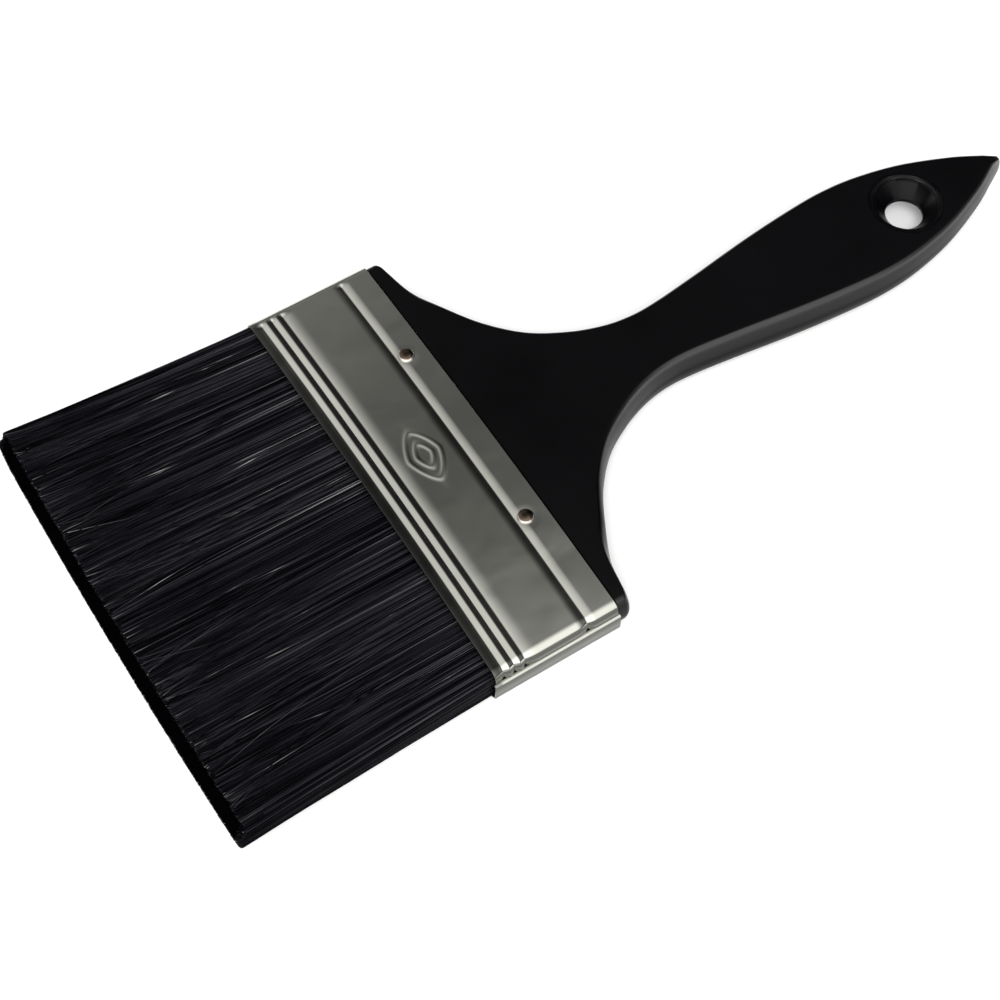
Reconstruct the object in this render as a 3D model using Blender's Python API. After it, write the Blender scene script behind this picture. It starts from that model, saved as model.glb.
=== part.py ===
"""Flat wall brush, 100 mm wide: plastic beaver-tail handle, folded sheet ferrule and set bristles.

The brush lies on its broad face. +X runs from the bristle tips to the handle tip, Y across the
width and +Z up. The origin is under the middle of the bounding box, on the surface it rests on.
Along the brush, lengths are measured from the ferrule's mouth, where the bristles leave it.
"""
import math

import bmesh
import bpy
from mathutils import Matrix, Vector

MM = 0.001

# Ferrule: one folded sheet
FERRULE_WIDTH = 100.0 * MM
FERRULE_LENGTH = 28.9 * MM
FERRULE_SIDE = 9.8 * MM  # thickness over the narrow sides
FERRULE_CORNER = 2.3 * MM
CROWN_MOUTH = 2.05 * MM  # how far each broad face bulges at mid width
CROWN_COLLAR = 1.4 * MM
SHEET = 0.45 * MM
LAP_SHARE = 0.846  # height of the outer lap, by the flat height of the near side that it lies on
LAP_HIDDEN = 1.0 * MM  # how far the inner lap stops short of the outer one's end
LAP_OVERHANG = 0.4 * MM  # the outer lap passes both ends of the sleeve by this
GROOVE_DEPTH = 0.6 * MM
GROOVES = (  # place from the mouth, half width on the bristle side, half width on the handle side
    (2.3 * MM, 1.25 * MM, 1.25 * MM),
    (4.8 * MM, 1.25 * MM, 1.25 * MM),
    (7.3 * MM, 1.25 * MM, 2.8 * MM),
    (22.0 * MM, 2.5 * MM, 1.7 * MM),
)

# Clearances
GAP = 0.3 * MM  # between pieces that touch on the real brush
STEP = 0.02 * MM  # run of a square step, so that its two edges stay apart
CUT_PAST = 1.0 * MM  # how far a hole's cutter reaches beyond the surface it opens

# Nails: one pair on each broad face
NAIL_PLACE = 24.0 * MM
NAIL_SPREAD = 46.6 * MM  # between the two nails of a face
NAIL_HEAD_RADIUS = 1.8 * MM
NAIL_HEAD_HEIGHT = 0.9 * MM
NAIL_SHANK_RADIUS = 0.7 * MM
NAIL_LENGTH = 4.5 * MM
NAIL_POINT = 1.2 * MM  # length of its point
NAIL_BLUNT = 0.12 * MM  # radius of the blunt end of the point
NAIL_SIDES = 20

# Handle
HANDLE_BEYOND = 138.6 * MM  # from the ferrule's rear edge to the handle's tip
HANDLE_THICKNESS = 10.2 * MM  # at the neck
HANDLE_TIP_THICKNESS = 9.0 * MM
HANDLE_EDGE = 1.6 * MM  # how far in from the sides the flat faces end
EDGE_SLANT = 0.4  # limits how far the edge spreads where the outline runs across the brush
BLOCK_DEPTH = 12.4 * MM  # how far the handle's block goes into the ferrule
BLOCK_RIM = 3.8 * MM  # full-size rim of the block, behind the last groove
BLOCK_CHAMFER = 0.4 * MM
SHOULDER_STRAIGHT = 2.0 * MM
SHOULDER_CORNER = 1.5 * MM
SHOULDER_SUNK = 0.2 * MM  # the shoulder lies this far under the ferrule's faces
SHOULDER_BLEND = 12.0 * MM  # over which the shoulder's edge grows to the handle's
NECK_BLEND = 0.16  # share of the length over which the collar's bulge turns level
THIN_FROM = 0.5  # share of the length from which the handle thins towards the tip
WIDEST_EDGE = 0.62  # the edge takes no more than this share of the half width
# Outline: share of the length beyond the ferrule, half width
OUTLINE = (
    (0.037, 40.5 * MM),
    (0.067, 31.8 * MM),
    (0.103, 23.6 * MM),
    (0.151, 16.6 * MM),
    (0.206, 12.0 * MM),
    (0.256, 9.4 * MM),
    (0.300, 8.4 * MM),
    (0.345, 8.5 * MM),
    (0.420, 9.7 * MM),
    (0.541, 12.0 * MM),
    (0.635, 13.3 * MM),
    (0.700, 13.7 * MM),
    (0.765, 13.0 * MM),
    (0.844, 10.6 * MM),
    (0.923, 6.4 * MM),
    (0.970, 3.0 * MM),
)
TIP_ROUND = 2.6 * MM
TIP_EDGE = 0.2  # what is left of the thickness at the very tip

# Hang hole, countersunk on both faces
HOLE_FROM_TIP = 27.1 * MM
HOLE_RADIUS = 4.25 * MM
HOLE_WAIST = 0.8 * MM  # height of its straight wall
SINK_RADIUS = 7.6 * MM
HOLE_SIDES = 32

# Bristles
BRISTLE_OUT = 58.8 * MM  # free length at mid width
TIP_BOW = 0.8 * MM  # the outer bristles are this much shorter
TIP_WIDTH = 105.0 * MM
TIP_THICKNESS = 12.4 * MM
TIP_BLUNT = 0.8 * MM  # bevel round the end face
TIP_THINS = (0.94, 0.075, 0.05)  # from this share of the width, over this share, to this squared
FLEX_SHARE = 0.15  # of the free length: where a clamped beam's tip seems to pivot
RIM_SHARE = 1.02  # place of the roots' rim beyond the flex axis, by the pack's thinnest radius
UNDER_LIP = 0.97  # the socket's edge stays below this share of the roots' height
ROOT_DEPTH = 11.5 * MM  # how far the bristles reach into the ferrule
PACK_CORNER = 1.8 * MM

# What holds the bristles inside the ferrule
SPACER_DEPTH = 9.0 * MM
CLEAR_HALF = FERRULE_SIDE / 2 - SHEET - GROOVE_DEPTH - GAP  # free half height at the narrow sides
SPACER_THICKNESS = 0.563 * CLEAR_HALF
SPACER_OFFSET = 0.648 * CLEAR_HALF  # from the middle plane to a spacer's middle
SPACER_END = 6.0 * MM  # short of the ferrule's inner side
SLOT_WALL = 0.97  # a spacer's slot stays inside this share of the set ends' height

# Facets, and the angles in degrees above which an edge is shaded sharp
PLATE_SHARP = 35.0
TURNED_SHARP = 40.0
SOFT_SHARP = 50.0
PLAIN_PLACE = 14.5 * MM  # a ring midway along the plain band between the grooves
RING_APART = 0.05 * MM  # least distance between two rings of the ferrule
FACE_STEPS = 12
CORNER_STEPS = 4
ARC_STEPS = 10
NOSE_STEPS = 4
NOSE_END = 82.0  # degrees round the handle's nose at which its flat end begins
PACK_STATIONS = 16

TOTAL_LENGTH = BRISTLE_OUT + FERRULE_LENGTH + HANDLE_BEYOND
MOUTH_X = BRISTLE_OUT - TOTAL_LENGTH / 2
COLLAR_X = MOUTH_X + FERRULE_LENGTH
TIP_X = COLLAR_X + HANDLE_BEYOND
FLEX_X = MOUTH_X - FLEX_SHARE * BRISTLE_OUT
HALF_WIDTH = FERRULE_WIDTH / 2
INNER_HALF_WIDTH = HALF_WIDTH - SHEET
FACE_HALF = HALF_WIDTH - FERRULE_CORNER
LAP_HALF = LAP_SHARE * (FERRULE_SIDE / 2 - FERRULE_CORNER)
NAIL_CROWN = CROWN_MOUTH + (CROWN_COLLAR - CROWN_MOUTH) * NAIL_PLACE / FERRULE_LENGTH
NAIL_SEAT = FERRULE_SIDE / 2 + NAIL_CROWN * (1.0 - (NAIL_SPREAD / 2 / FACE_HALF) ** 2)
# The brush lies on its lowest nail heads, or on the ferrule's mouth where that bulges more
MID_Z = max(NAIL_SEAT + GAP + NAIL_HEAD_HEIGHT, FERRULE_SIDE / 2 + CROWN_MOUTH)


# ---------------------------------------------------------------- helpers

def clear_scene():
    for item in list(bpy.data.objects):
        bpy.data.objects.remove(item, do_unlink=True)


def smooth(t):
    """0 to 1 with level ends."""
    t = min(max(t, 0.0), 1.0)
    return t * t * (3.0 - 2.0 * t)


def mix(a, b, t):
    return a + (b - a) * t


def material(name, colour, roughness, metallic=0.0):
    made = bpy.data.materials.new(name)
    made.use_nodes = True
    shader = made.node_tree.nodes["Principled BSDF"]
    shader.inputs["Base Color"].default_value = (*colour, 1.0)
    shader.inputs["Roughness"].default_value = roughness
    shader.inputs["Metallic"].default_value = metallic
    return made


def loft(name, rings, finish, sharp_degrees=PLATE_SHARP):
    """One closed body through rings of equally many points; the end rings are capped."""
    shape = bmesh.new()
    loops = [[shape.verts.new(point) for point in ring] for ring in rings]
    count = len(loops[0])
    for first, second in zip(loops, loops[1:]):
        for i in range(count):
            j = (i + 1) % count
            shape.faces.new((first[i], first[j], second[j], second[i]))
    shape.faces.new(loops[0])
    shape.faces.new(loops[-1])
    bmesh.ops.recalc_face_normals(shape, faces=shape.faces)
    return finish_object(name, shape, finish, sharp_degrees)


def finish_object(name, shape, finish, sharp_degrees):
    bmesh.ops.triangulate(shape, faces=[face for face in shape.faces if len(face.verts) > 4])
    mesh = bpy.data.meshes.new(name)
    shape.to_mesh(mesh)
    shape.free()
    mesh.materials.append(finish)
    mesh.shade_smooth()
    mesh.set_sharp_from_angle(angle=math.radians(sharp_degrees))
    made = bpy.data.objects.new(name, mesh)
    bpy.context.scene.collection.objects.link(made)
    return made


def turned(name, profile, sides, finish):
    """A body of revolution about its own Z, from (radius, height) points between its two poles."""
    shape = bmesh.new()
    low = shape.verts.new((0.0, 0.0, profile[0][1]))
    high = shape.verts.new((0.0, 0.0, profile[-1][1]))
    loops = []
    for radius, height in profile[1:-1]:
        angles = [2 * math.pi * k / sides for k in range(sides)]
        loops.append([shape.verts.new((radius * math.cos(a), radius * math.sin(a), height)) for a in angles])
    for k in range(sides):
        following = (k + 1) % sides
        shape.faces.new((low, loops[0][following], loops[0][k]))
        shape.faces.new((high, loops[-1][k], loops[-1][following]))
        for first, second in zip(loops, loops[1:]):
            shape.faces.new((first[k], first[following], second[following], second[k]))
    bmesh.ops.recalc_face_normals(shape, faces=shape.faces)
    return finish_object(name, shape, finish, TURNED_SHARP)


def cutter(name, profile, sides, place):
    """A turned body that only cuts: it is not part of the brush."""
    made = turned(name, profile, sides, bpy.data.materials.new(name))
    made.location = place
    made.hide_render = True
    made.display_type = "WIRE"
    return made


def cut(body, tool):
    modifier = body.modifiers.new(tool.name, "BOOLEAN")
    modifier.operation = "DIFFERENCE"
    modifier.solver = "EXACT"
    modifier.object = tool


# ---------------------------------------------------------------- ferrule

def crown_at(along):
    """Bulge of a broad face at a place measured from the mouth."""
    return mix(CROWN_MOUTH, CROWN_COLLAR, min(max(along / FERRULE_LENGTH, 0.0), 1.0))


def face_height(along, y):
    """Height of the ferrule's outer face over the middle plane."""
    return FERRULE_SIDE / 2 + crown_at(along) * (1.0 - (y / FACE_HALF) ** 2)


def groove_at(along):
    """Depth of the rolled grooves at a place measured from the mouth."""
    depth = 0.0
    for place, before, after in GROOVES:
        away = along - place
        reach = before if away < 0.0 else after
        if abs(away) < reach:
            depth += GROOVE_DEPTH * 0.5 * (1.0 + math.cos(math.pi * away / reach))
    return depth


def sheet_path(along):
    """The sheet's outer side round the sleeve, from the outer lap's edge to the inner lap's edge.

    Each entry is y, z, the outward direction as (y, z), the lift of the outer lap and the share
    of the grooves that is pressed in there.
    """
    side = FERRULE_SIDE / 2 - FERRULE_CORNER
    lift = SHEET + GAP
    path = [(-HALF_WIDTH, LAP_HALF, (-1.0, 0.0), lift, 0.0)]
    path.append((-HALF_WIDTH, -LAP_HALF, (-1.0, 0.0), lift, 0.0))

    def corner(y_sign, z_sign, start, lifted, grooved):
        for step in range(CORNER_STEPS + 1):
            share = step / CORNER_STEPS
            angle = math.radians(start + 90.0 * share)
            out = (math.cos(angle), math.sin(angle))
            y = y_sign * FACE_HALF + FERRULE_CORNER * out[0]
            z = z_sign * side + FERRULE_CORNER * out[1]
            path.append((y, z, out, lifted * (1.0 - smooth(share)), grooved(share)))

    def face(z_sign):
        for step in range(1, FACE_STEPS):
            y = -z_sign * mix(-FACE_HALF, FACE_HALF, step / FACE_STEPS)
            path.append((y, z_sign * face_height(along, y), (0.0, z_sign), 0.0, 1.0))

    corner(-1.0, -1.0, 180.0, lift, smooth)
    face(-1.0)
    corner(1.0, -1.0, 270.0, 0.0, lambda share: 1.0 - smooth(share))
    corner(1.0, 1.0, 0.0, 0.0, smooth)
    face(1.0)
    corner(-1.0, 1.0, 90.0, 0.0, lambda share: 1.0)
    path.append((-HALF_WIDTH, LAP_HIDDEN - LAP_HALF, (-1.0, 0.0), 0.0, 1.0))
    return path


def ferrule_ring(along, overhang=0.0):
    """Outer points of the sheet, then its inner points back again."""
    groove = groove_at(along)
    outer = []
    inner = []
    for y, z, out, lift, grooved in sheet_path(along):
        move = lift - groove * grooved
        lapped = overhang if lift > 0.0 else 0.0
        for points, depth in ((outer, 0.0), (inner, SHEET)):
            x = MOUTH_X + along + lapped
            points.append(Vector((x, y + out[0] * (move - depth), MID_Z + z + out[1] * (move - depth))))
    return outer + inner[::-1]


def ferrule_stations():
    """Places along the sleeve, close together across each groove."""
    places = {0.0, PLAIN_PLACE, FERRULE_LENGTH}
    for place, before, after in GROOVES:
        for share in (-1.0, -0.5, 0.0):
            places.add(place + share * before)
        for share in (0.5, 1.0):
            places.add(place + share * after)
    ordered = sorted(places)
    kept = [ordered[0]]
    for place in ordered[1:]:
        if place - kept[-1] > RING_APART:
            kept.append(place)
    return kept


def nail_spots():
    """Name, place and face (1 top, -1 underside) of each nail."""
    for face, face_name in ((1.0, "top"), (-1.0, "underside")):
        for side, side_name in ((1.0, "far"), (-1.0, "near")):
            y = side * NAIL_SPREAD / 2
            seat = face_height(NAIL_PLACE, y)
            place = Vector((MOUTH_X + NAIL_PLACE, y, MID_Z + face * seat))
            yield f"nail_{face_name}_{side_name}", place, face


def make_ferrule(metal, hole_tools):
    stations = ferrule_stations()
    rings = [ferrule_ring(stations[0], -LAP_OVERHANG)]
    rings += [ferrule_ring(place) for place in stations[1:-1]]
    rings.append(ferrule_ring(stations[-1], LAP_OVERHANG))
    ferrule = loft("ferrule", rings, metal)
    for tool in hole_tools:
        cut(ferrule, tool)


# ---------------------------------------------------------------- handle

def spline(points, steps):
    """Catmull-Rom curve through the points, ends included."""
    padded = [points[0]] + list(points) + [points[-1]]
    curve = []
    for i in range(1, len(padded) - 2):
        p0, p1, p2, p3 = padded[i - 1:i + 3]
        for step in range(steps):
            t = step / steps
            a = (p2 - p0) * 0.5
            b = (p3 - p1) * 0.5
            h1 = 2 * t ** 3 - 3 * t ** 2 + 1
            h2 = t ** 3 - 2 * t ** 2 + t
            h3 = -2 * t ** 3 + 3 * t ** 2
            h4 = t ** 3 - t ** 2
            curve.append(p1 * h1 + a * h2 + p2 * h3 + b * h4)
    curve.append(points[-1])
    return curve


def handle_outline():
    """(x, half width) beyond the ferrule: the shoulder is flush with its sides."""
    corner = [Vector((COLLAR_X + GAP, HALF_WIDTH)), Vector((COLLAR_X + SHOULDER_STRAIGHT, HALF_WIDTH))]
    centre = Vector((COLLAR_X + SHOULDER_STRAIGHT, HALF_WIDTH - SHOULDER_CORNER))
    for degrees in (60.0, 35.0, 14.0):
        angle = math.radians(degrees)
        corner.append(centre + SHOULDER_CORNER * Vector((math.cos(angle), math.sin(angle))))
    points = [corner[-1]]
    points += [Vector((COLLAR_X + share * HANDLE_BEYOND, half)) for share, half in OUTLINE]
    body = spline(points, 2)
    return corner[:-1] + body + nose(body[-2], body[-1])


def nose(before, start):
    """The outline runs on straight from its last points into a round nose at the handle's tip."""
    slant = math.atan2(before.y - start.y, start.x - before.x)
    fall = math.tan(slant)
    left = start.y - fall * (TIP_X - start.x)
    radius = left * math.cos(slant) / (1.0 - fall * math.cos(slant))
    points = []
    for step in range(NOSE_STEPS + 1):
        angle = mix(slant, math.radians(NOSE_END), step / NOSE_STEPS)
        points.append(Vector((TIP_X - radius + radius * math.sin(angle), radius * math.cos(angle))))
    return points


def handle_half_thickness(x, y):
    """Like the ferrule's face at the collar, level at the neck and thinner towards the tip."""
    beyond = (x - COLLAR_X) / HANDLE_BEYOND
    collar = face_height(FERRULE_LENGTH, min(abs(y), FACE_HALF)) - SHOULDER_SUNK
    level = HANDLE_THICKNESS / 2
    grip = mix(level, HANDLE_TIP_THICKNESS / 2, smooth((beyond - THIN_FROM) / (1.0 - THIN_FROM)))
    return mix(collar, grip, smooth(beyond / NECK_BLEND))


def plate_ring(x, half, edge, height, level_steps=6, edge_steps=4):
    """A YZ ring with flat faces and elliptical edges; height(y) is the half thickness."""
    flat = half - edge
    upper = []
    for step in range(edge_steps, 0, -1):
        angle = 0.5 * math.pi * step / edge_steps
        y = flat + edge * math.sin(angle)
        upper.append((y, height(flat) * math.cos(angle)))
    for step in range(level_steps + 1):
        y = mix(flat, -flat, step / level_steps)
        upper.append((y, height(y)))
    for step in range(1, edge_steps):
        angle = 0.5 * math.pi * step / edge_steps
        upper.append((-flat - edge * math.sin(angle), height(flat) * math.cos(angle)))
    lower = [(-y, -z) for y, z in upper]
    return [Vector((x, y, MID_Z + z)) for y, z in upper + lower]


def block_rings():
    """The handle's block inside the ferrule: slim under the last groove, full size at the rim."""
    front = COLLAR_X - BLOCK_DEPTH
    step_x = COLLAR_X - BLOCK_RIM
    slim = GROOVE_DEPTH + GAP
    steps = ((front, slim), (step_x, slim), (step_x + BLOCK_CHAMFER, GAP), (COLLAR_X + GAP - STEP, GAP))
    rings = []
    for x, trim in steps:
        along = x - MOUTH_X
        half = INNER_HALF_WIDTH - trim

        def height(y, along=along, trim=trim):
            return face_height(along, min(abs(y), FACE_HALF)) - SHEET - trim

        rings.append(plate_ring(x, half, FERRULE_CORNER - SHEET / 2, height))
    return rings


def handle_rings():
    outline = handle_outline()
    rings = block_rings()
    for i, point in enumerate(outline):
        before = outline[max(i - 1, 0)]
        after = outline[min(i + 1, len(outline) - 1)]
        along = (after - before).normalized()
        wanted = mix(FERRULE_CORNER, HANDLE_EDGE, smooth((point.x - COLLAR_X) / SHOULDER_BLEND))
        edge = min(wanted / max(abs(along.x), EDGE_SLANT), WIDEST_EDGE * point.y)
        into_tip = max(point.x - (TIP_X - TIP_ROUND), 0.0) / TIP_ROUND
        closing = math.sqrt(max(1.0 - into_tip ** 2, TIP_EDGE ** 2))

        def height(y, x=point.x, closing=closing):
            return handle_half_thickness(x, y) * closing

        rings.append(plate_ring(point.x, point.y, edge, height))
    return rings


def hole_cutter():
    """Straight through the middle, opening out to the countersink at both faces."""
    x = TIP_X - HOLE_FROM_TIP
    half = handle_half_thickness(x, 0.0)
    waist = HOLE_WAIST / 2
    wide = SINK_RADIUS + (SINK_RADIUS - HOLE_RADIUS) / (half - waist) * CUT_PAST
    profile = (
        (0.0, -half - CUT_PAST),
        (wide, -half - CUT_PAST),
        (HOLE_RADIUS, -waist),
        (HOLE_RADIUS, waist),
        (wide, half + CUT_PAST),
        (0.0, half + CUT_PAST),
    )
    return cutter("hang_hole_cutter", profile, HOLE_SIDES, (x, 0.0, MID_Z))


def make_handle(plastic, hole_tools):
    handle = loft("handle", handle_rings(), plastic)
    for tool in [hole_cutter()] + hole_tools:
        cut(handle, tool)


# ---------------------------------------------------------------- nails

def nail_cutters():
    """Holes through the sheet into the block, one for each nail."""
    radius = NAIL_SHANK_RADIUS + GAP
    tools = []
    deep = -NAIL_LENGTH - GAP
    profile = ((0.0, deep), (radius, deep), (radius, CUT_PAST), (0.0, CUT_PAST))
    for name, place, face in nail_spots():
        tool = cutter(name + "_hole", profile, NAIL_SIDES, place)
        if face < 0.0:
            tool.rotation_euler = (math.pi, 0.0, 0.0)
        tools.append(tool)
    return tools


def make_nails(steel):
    dome = []
    for degrees in (0.0, 25.0, 50.0, 72.0):
        angle = math.radians(degrees)
        dome.append((NAIL_HEAD_RADIUS * math.cos(angle), NAIL_HEAD_HEIGHT * math.sin(angle)))
    profile = [(0.0, -NAIL_LENGTH), (NAIL_BLUNT, -NAIL_LENGTH + NAIL_BLUNT)]
    profile += [(NAIL_SHANK_RADIUS, -NAIL_LENGTH + NAIL_POINT), (NAIL_SHANK_RADIUS, 0.0)]
    profile += dome + [(0.0, NAIL_HEAD_HEIGHT)]
    for name, place, face in nail_spots():
        nail = turned(name, profile, NAIL_SIDES, steel)
        nail.location = place + Vector((0.0, 0.0, face * GAP))
        if face < 0.0:
            nail.rotation_euler = (math.pi, 0.0, 0.0)


# ---------------------------------------------------------------- bristles and what holds them

def pack_half_thickness(y, trim, along=0.0):
    """Half thickness of the bristles, trimmed from the sheet at a place from the mouth."""
    half = INNER_HALF_WIDTH - trim
    round_start = half - PACK_CORNER
    level = face_height(along, min(abs(y), FACE_HALF)) - SHEET - trim
    into = max(abs(y) - round_start, 0.0) / PACK_CORNER
    return level - PACK_CORNER * (1.0 - math.sqrt(max(1.0 - into ** 2, 0.0)))


def pack_places(half):
    """Places across the width, closer at the rounded sides."""
    places = []
    for step in range(PACK_STATIONS + 1):
        places.append(-half * math.cos(math.pi * step / PACK_STATIONS))
    return places


def arc(radius, start, end):
    """(x, z) points on a circle about the flex axis, angles in degrees from +X towards +Z."""
    points = []
    for step in range(ARC_STEPS + 1):
        angle = math.radians(mix(start, end, step / ARC_STEPS))
        points.append((FLEX_X + radius * math.cos(angle), radius * math.sin(angle)))
    return points


def make_bristle_pack(filament):
    """The free bristles: round about the flex axis at the root, blunt at the tips."""
    half = INNER_HALF_WIDTH - GAP
    spread = TIP_WIDTH / 2 / half
    rings = []
    for y in pack_places(half):
        root = pack_half_thickness(y, GAP)
        share = abs(y) / half
        tip_x = MOUTH_X - BRISTLE_OUT + TIP_BOW * share ** 2
        thins_from, thins_over, least = TIP_THINS
        thinned = max(1.0 - max(share - thins_from, 0.0) / thins_over, least)
        tip = TIP_THICKNESS / 2 * math.sqrt(thinned)
        section = arc(root, 90.0, -90.0)
        section += [(tip_x + TIP_BLUNT, -tip), (tip_x, -tip + TIP_BLUNT)]
        section += [(tip_x, tip - TIP_BLUNT), (tip_x + TIP_BLUNT, tip)]
        ring = []
        for x, z in section:
            flare = mix(1.0, spread, smooth((FLEX_X - x) / (FLEX_X - MOUTH_X + BRISTLE_OUT)))
            ring.append(Vector((x, y * flare, MID_Z + z)))
        rings.append(ring)
    loft("bristle_pack", rings, filament, SOFT_SHARP)


def make_bristle_roots(filament):
    """The set ends: a hollow front round the flex axis, and slots for the spacers at the rear."""
    slim = GROOVE_DEPTH + GAP
    half = INNER_HALF_WIDTH - slim
    widen = (INNER_HALF_WIDTH - GAP) / half
    rear = MOUTH_X + ROOT_DEPTH
    slot_front = rear - SPACER_DEPTH - GAP
    slot_half = SPACER_THICKNESS / 2 + GAP
    rim_beyond = RIM_SHARE * pack_half_thickness(INNER_HALF_WIDTH - GAP, GAP)
    rings = []
    for y in pack_places(half):
        inside = pack_half_thickness(y, slim, ROOT_DEPTH)
        outside = pack_half_thickness(y * widen, GAP)
        socket = pack_half_thickness(max(abs(y * widen) - GAP, 0.0), GAP) + GAP
        rim = math.degrees(min(math.acos(rim_beyond / socket), math.asin(UNDER_LIP * outside / socket)))
        lip = [(FLEX_X + rim_beyond, outside), (MOUTH_X - GAP, outside), (MOUTH_X, inside)]
        section = lip + [(rear, inside)]
        narrowed = min(1.0, SLOT_WALL * inside / (SPACER_OFFSET + slot_half))
        for z in (SPACER_OFFSET, -SPACER_OFFSET):
            upper = (z + slot_half) * narrowed
            lower = (z - slot_half) * narrowed
            section += [(rear, upper), (slot_front, upper), (slot_front, lower), (rear, lower)]
        section += [(rear, -inside)] + [(x, -z) for x, z in reversed(lip)]
        section += arc(socket, -rim, rim)
        ring = []
        for x, z in section:
            ring.append(Vector((x, y * widen if x < MOUTH_X - GAP / 2 else y, MID_Z + z)))
        rings.append(ring)
    loft("bristle_roots", rings, filament, SOFT_SHARP)


def make_spacers(board):
    half = INNER_HALF_WIDTH - SPACER_END
    front = MOUTH_X + ROOT_DEPTH - SPACER_DEPTH
    for name, z in (("spacer_upper", SPACER_OFFSET), ("spacer_lower", -SPACER_OFFSET)):
        rings = []
        for x in (front, front + SPACER_DEPTH):
            corners = ((-1, -1), (1, -1), (1, 1), (-1, 1))
            rings.append([
                Vector((x, a * half, MID_Z + z + b * SPACER_THICKNESS / 2)) for a, b in corners
            ])
        loft(name, rings, board)


def make_resin(resin):
    """The setting between the bristle ends and the handle's block."""
    front = MOUTH_X + ROOT_DEPTH + GAP
    rear = COLLAR_X - BLOCK_DEPTH - GAP
    trim = GROOVE_DEPTH + GAP
    half = INNER_HALF_WIDTH - trim
    rings = []
    for x in (front, rear):

        def height(y, along=x - MOUTH_X):
            return face_height(along, min(abs(y), FACE_HALF)) - SHEET - trim

        rings.append(plate_ring(x, half, FERRULE_CORNER - SHEET, height))
    loft("resin_setting", rings, resin)


def main():
    clear_scene()
    plastic = material("handle_plastic", (0.012, 0.012, 0.013), 0.32)
    metal = material("ferrule_metal", (0.45, 0.455, 0.43), 0.22, 1.0)
    steel = material("nail_steel", (0.5, 0.48, 0.45), 0.2, 1.0)
    filament = material("bristle_filament", (0.012, 0.012, 0.016), 0.45)
    board = material("spacer_board", (0.45, 0.32, 0.18), 0.8)
    resin = material("setting_resin", (0.55, 0.45, 0.2), 0.3)
    nail_tools = nail_cutters()
    make_ferrule(metal, nail_tools)
    make_handle(plastic, nail_tools)
    make_nails(steel)
    make_bristle_pack(filament)
    make_bristle_roots(filament)
    make_spacers(board)
    make_resin(resin)


main()
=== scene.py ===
"""Looks of the flat wall brush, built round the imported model: sheet ferrule, moulded handle,
domed nails and filaments, on a pale floor under soft studio light. Lengths are in metres."""
import math

import bmesh
import bpy
import numpy as np
from mathutils import Matrix, Vector


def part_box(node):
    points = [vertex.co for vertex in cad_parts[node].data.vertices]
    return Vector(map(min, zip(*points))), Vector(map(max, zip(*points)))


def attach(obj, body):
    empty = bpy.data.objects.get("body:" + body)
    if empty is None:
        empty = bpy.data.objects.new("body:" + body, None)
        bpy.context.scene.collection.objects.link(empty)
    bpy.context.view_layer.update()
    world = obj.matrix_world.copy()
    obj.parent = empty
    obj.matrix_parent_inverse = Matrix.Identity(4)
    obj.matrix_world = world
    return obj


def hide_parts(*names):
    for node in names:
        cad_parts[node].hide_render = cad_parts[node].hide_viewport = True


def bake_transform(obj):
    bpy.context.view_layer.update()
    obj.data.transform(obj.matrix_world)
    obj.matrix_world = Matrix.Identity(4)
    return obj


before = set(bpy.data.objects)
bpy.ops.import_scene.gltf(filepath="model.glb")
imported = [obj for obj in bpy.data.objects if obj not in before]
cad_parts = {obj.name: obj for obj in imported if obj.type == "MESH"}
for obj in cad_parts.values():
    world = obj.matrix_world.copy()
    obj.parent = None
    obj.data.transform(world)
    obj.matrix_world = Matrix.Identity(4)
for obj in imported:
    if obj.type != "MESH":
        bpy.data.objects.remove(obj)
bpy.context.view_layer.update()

MM = 0.001

# Ferrule sizes, as in the CAD
SHEET = 0.45 * MM
GAP = 0.3 * MM
FERRULE_SIDE = 9.8 * MM
FERRULE_CORNER = 2.3 * MM
CROWN_MOUTH = 2.05 * MM
CROWN_COLLAR = 1.4 * MM
LAP_HALF = 2.2 * MM
LAP_HIDDEN = 1.0 * MM
LAP_OVERHANG = 0.4 * MM
SHADE_FROM = 0.72  # how far round the near corner the plate is painted darker, as painted shade, as a sine of its slope
LIP_SHADE = 0.22  # the mouth's lip is painted a little darker, as painted shade, fading out between these places
LIP_SHADE_FADE = (1.2 * MM, 2.2 * MM)
LAP_UNSHADED = 0.5  # the lap's upper edge, above this share of its half height, is left out of the painted shade
LAP_LIFT = 0.16 * MM  # how far the outer lap stands off the inner one
LAP_PROFILE = (  # share of the lap's half height, how far it lies inside its outermost plane
    (0.70, 0.50 * MM),
    (0.65, 0.30 * MM),
    (0.58, 0.16 * MM),
    (0.42, 0.10 * MM),
    (0.30, 0.0),
    (-0.5, 0.0),
    (-1.0, 0.05 * MM),
)
GROOVE_DEPTH = 0.6 * MM
GROOVES = (  # place from the mouth; reach and power of its wall on the bristle and the handle side
    (2.3 * MM, 2.25 * MM, 1.15, 1.2 * MM, 1.3),
    (4.8 * MM, 1.3 * MM, 1.1, 1.2 * MM, 1.3),
    (7.3 * MM, 1.3 * MM, 1.1, 3.2 * MM, 2.0),
    (22.0 * MM, 2.6 * MM, 1.9, 1.9 * MM, 1.5),
)
FAR_FADE = 0.9 * MM  # the grooves run out over this width on each side of the far fold's start
SHEET_EDGE = 0.12 * MM  # radius of the sheet's edge at the mouth and the collar
DIMPLE_DEPTH = 0.22 * MM
DIMPLE_RADIUS = 3.2 * MM
MARK_PLACE = 14.3 * MM  # middle of the plain pressed lozenge, from the mouth
MARK_SIZE = (3.6 * MM, 6.4 * MM)  # half sizes along and across the brush
MARK_HEIGHT = 0.2 * MM
MARK_LINE = 0.42 * MM
MARK_POWER = 1.4  # 1 is a lozenge with straight sides, 2 an ellipse
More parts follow.
